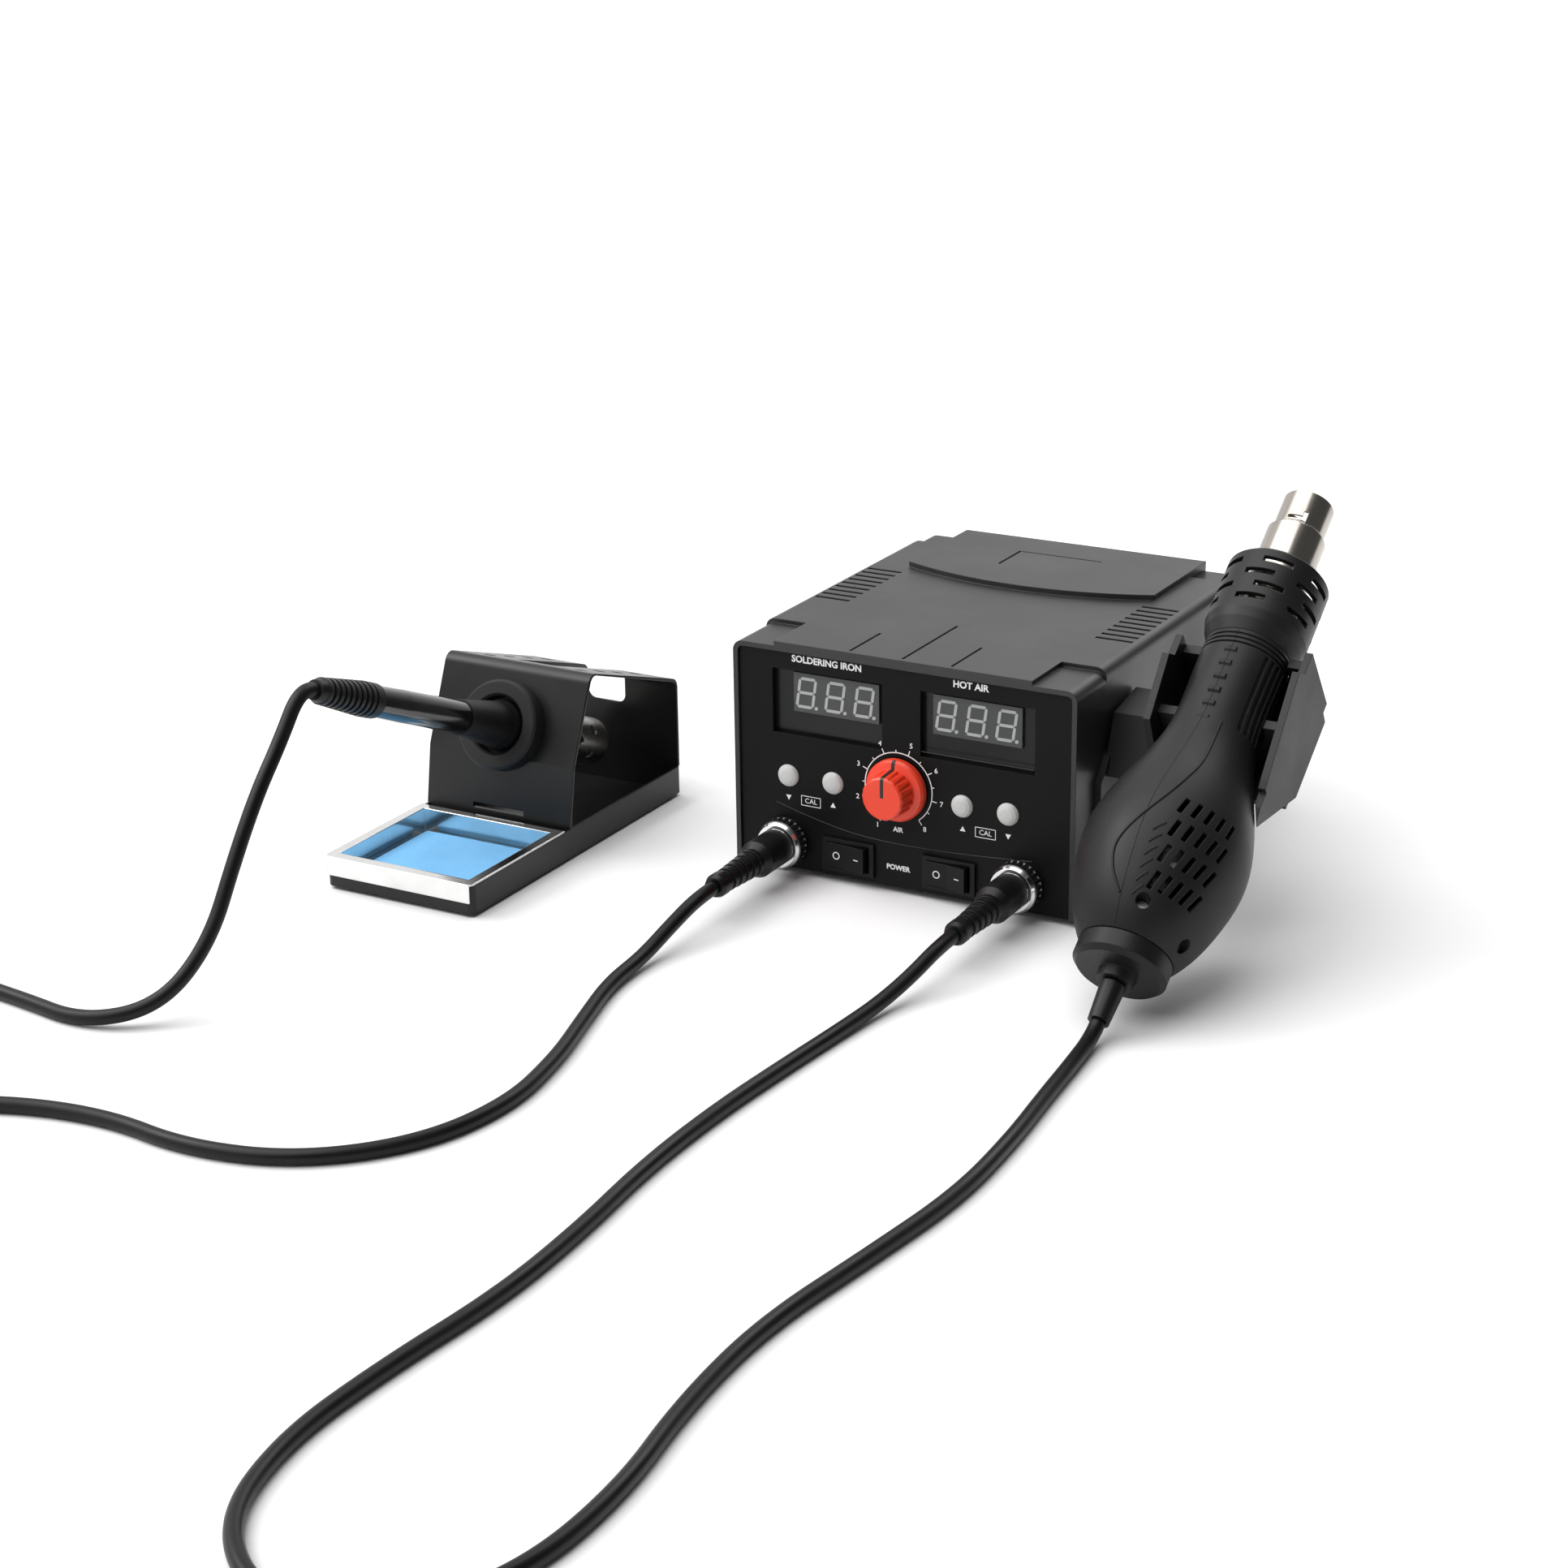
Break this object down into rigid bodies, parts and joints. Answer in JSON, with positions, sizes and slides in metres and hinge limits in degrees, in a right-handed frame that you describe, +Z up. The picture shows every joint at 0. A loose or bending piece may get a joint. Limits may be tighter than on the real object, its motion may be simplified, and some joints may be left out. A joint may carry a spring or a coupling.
{
  "type": "soldering station",
  "caption": "Black control case with twin digit displays, red flow knob, hot-air gun in a side cradle, and a pencil iron in a bent-sheet stand with a sponge tray",
  "frame": {"origin": "on the bench plane, under the middle of the case, stand, iron and gun; cords and plugs left out", "axes": "+X runs across the front from the iron stand to the gun, +Y points to the back of the case, +Z is up"},
  "size_m": [0.4943, 0.7059, 0.1632],
  "materials": {
    "base_pan": "satin black powder coat",
    "top_cover": "fine-textured black moulding",
    "front_panel": "fine-textured black moulding",
    "rear_panel": "fine-textured black moulding",
    "display_windows": "dark smoked mask",
    "display_modules": "dark grey digit face",
    "front_board": "green circuit board",
    "tact_switches": "black switch housings",
    "potentiometer": "plated can and bush",
    "rocker_frames": "black bezels",
    "panel_sockets": "bright plated",
    "socket_nuts": "plated ring nuts",
    "power_board": "green circuit board",
    "transformer_core": "varnished laminations",
    "transformer_winding": "yellow tape wrap",
    "heatsink": "black-free anodised",
    "capacitors": "sleeved cans",
    "mains_inlet": "black inlet",
    "fuse_drawer": "black drawer",
    "station_feet": "soft black",
    "case_screws": "zinc plated",
    "speed_knob": "red, fluted",
    "knob_shaft": "turned steel",
    "iron_rocker": "black rocker",
    "air_rocker": "black rocker",
    "gun_cradle": "fine-textured black moulding",
    "stand_base": "satin black powder coat",
    "stand_feet": "soft black",
    "iron_holder": "satin black powder coat",
    "holder_bushing": "heat-proof black",
    "holder_guard": "heat-tinted steel",
    "sponge_tray": "bright plated sheet",
    "sponge": "pale blue cellulose",
    "iron_nose": "black silicone",
    "iron_handle": "glossy black",
    "iron_boot": "black, ribbed",
    "iron_nut": "knurled steel",
    "iron_barrel": "stainless tube",
    "iron_tip": "iron-plated copper",
    "gun_shell_left": "fine-textured black moulding",
    "gun_shell_right": "fine-textured black moulding",
    "gun_collar": "heat-proof black",
    "gun_tube": "stainless shroud",
    "gun_nozzle": "stainless outlet",
    "gun_heater": "heater core",
    "gun_motor": "motor can",
    "gun_fan": "black wheel",
    "gun_end_cap": "fine-textured black moulding",
    "gun_boot": "black sleeve",
    "gun_screws": "black zinc",
    "iron_cord": "matt black silicone sheath",
    "air_cord": "matt black silicone sheath",
    "iron_plug": "black moulded boot on a bright sleeve",
    "air_plug": "black moulded boot on a bright sleeve",
    "iron_plug_ring": "dark knurled ring",
    "air_plug_ring": "dark knurled ring",
    "button_iron_down": "light grey domed button",
    "button_iron_up": "light grey domed button",
    "button_air_up": "light grey domed button",
    "button_air_down": "light grey domed button"
  },
  "bodies": {
    "case": {"base_pan": "base_pan", "top_cover": "top_cover", "front_panel": "front_panel", "rear_panel": "rear_panel", "display_windows": "display_windows", "display_modules": "display_modules", "front_board": "front_board", "tact_switches": "tact_switches", "potentiometer": "potentiometer", "rocker_frames": "rocker_frames", "panel_sockets": "panel_sockets", "socket_nuts": "socket_nuts", "power_board": "power_board", "transformer_core": "transformer_core", "transformer_winding": "transformer_winding", "heatsink": "heatsink", "capacitors": "capacitors", "mains_inlet": "mains_inlet", "station_feet": "station_feet", "case_screws": "case_screws", "gun_cradle": "gun_cradle", "stand_base": "stand_base", "stand_feet": "stand_feet", "iron_holder": "iron_holder", "holder_bushing": "holder_bushing", "holder_guard": "holder_guard", "iron_plug": "iron_plug", "air_plug": "air_plug", "iron_cord": "iron_cord", "air_cord": "air_cord"},
    "fuse": {"fuse_drawer": "fuse_drawer"},
    "flow_knob": {"speed_knob": "speed_knob", "knob_shaft": "knob_shaft"},
    "iron_switch": {"iron_rocker": "iron_rocker"},
    "air_switch": {"air_rocker": "air_rocker"},
    "iron_ring": {"iron_plug_ring": "iron_plug_ring"},
    "air_ring": {"air_plug_ring": "air_plug_ring"},
    "tray": {"sponge_tray": "sponge_tray"},
    "sponge_pad": {"sponge": "sponge"},
    "iron": {"iron_nose": "iron_nose", "iron_handle": "iron_handle", "iron_boot": "iron_boot", "iron_nut": "iron_nut", "iron_barrel": "iron_barrel", "iron_tip": "iron_tip"},
    "gun": {"gun_shell_left": "gun_shell_left", "gun_shell_right": "gun_shell_right", "gun_collar": "gun_collar", "gun_tube": "gun_tube", "gun_heater": "gun_heater", "gun_motor": "gun_motor", "gun_end_cap": "gun_end_cap", "gun_boot": "gun_boot", "gun_screws": "gun_screws"},
    "nozzle": {"gun_nozzle": "gun_nozzle"},
    "fan": {"gun_fan": "gun_fan"},
    "button_iron_down": {"button_iron_down": "button_iron_down"},
    "button_iron_up": {"button_iron_up": "button_iron_up"},
    "button_air_up": {"button_air_up": "button_air_up"},
    "button_air_down": {"button_air_down": "button_air_down"}
  },
  "joints": [
    {"name": "flow_turn", "type": "hinge", "parent": "case", "child": "flow_knob", "pos_m": [0.02575, -0.01478, 0.0465], "axis": [0, 1, 0], "range_deg": [-150, 150]},
    {"name": "iron_switch_tip", "type": "hinge", "parent": "case", "child": "iron_switch", "pos_m": [0.00275, -0.01318, 0.0126], "axis": [0, 0, 1], "range_deg": [0, 15]},
    {"name": "air_switch_tip", "type": "hinge", "parent": "case", "child": "air_switch", "pos_m": [0.04925, -0.01318, 0.0126], "axis": [0, 0, 1], "range_deg": [0, 15]},
    {"name": "iron_ring_turn", "type": "hinge", "parent": "case", "child": "iron_ring", "pos_m": [-0.02675, -0.01478, 0.015], "axis": [0, -1, 0], "range_deg": [0, 90]},
    {"name": "air_ring_turn", "type": "hinge", "parent": "case", "child": "air_ring", "pos_m": [0.08125, -0.01478, 0.015], "axis": [0, -1, 0], "range_deg": [0, 90]},
    {"name": "fuse_slide", "type": "slide", "parent": "case", "child": "fuse", "axis": [0, 1, 0], "range_m": [0, 0.016]},
    {"name": "tray_lift", "type": "slide", "parent": "case", "child": "tray", "axis": [0, 0, 1], "range_m": [0, 0.02]},
    {"name": "sponge_lift", "type": "slide", "parent": "tray", "child": "sponge_pad", "axis": [0, 0, 1], "range_m": [0, 0.015]},
    {"name": "iron_pull", "type": "slide", "parent": "case", "child": "iron", "axis": [0, -0.9205, 0.3907], "range_m": [0, 0.095], "deforming": ["iron_cord"]},
    {"name": "gun_lift", "type": "slide", "parent": "case", "child": "gun", "axis": [0, -0.5878, 0.809], "range_m": [0, 0.06], "deforming": ["air_cord"]},
    {"name": "nozzle_twist", "type": "hinge", "parent": "gun", "child": "nozzle", "pos_m": [0.15725, 0.08034, 0.1452], "axis": [0, 0.809, 0.5878], "range_deg": [0, 35]},
    {"name": "fan_spin", "type": "hinge", "parent": "gun", "child": "fan", "pos_m": [0.15725, -0.04425, 0.05468], "axis": [0, 0.809, 0.5878], "continuous": true},
    {"name": "press_iron_down", "type": "slide", "parent": "case", "child": "button_iron_down", "axis": [0, 1, 0], "range_m": [0, 0.0008], "stiffness_N_per_m": 400},
    {"name": "press_iron_up", "type": "slide", "parent": "case", "child": "button_iron_up", "axis": [0, 1, 0], "range_m": [0, 0.0008], "stiffness_N_per_m": 400},
    {"name": "press_air_up", "type": "slide", "parent": "case", "child": "button_air_up", "axis": [0, 1, 0], "range_m": [0, 0.0008], "stiffness_N_per_m": 400},
    {"name": "press_air_down", "type": "slide", "parent": "case", "child": "button_air_down", "axis": [0, 1, 0], "range_m": [0, 0.0008], "stiffness_N_per_m": 400}
  ]
}
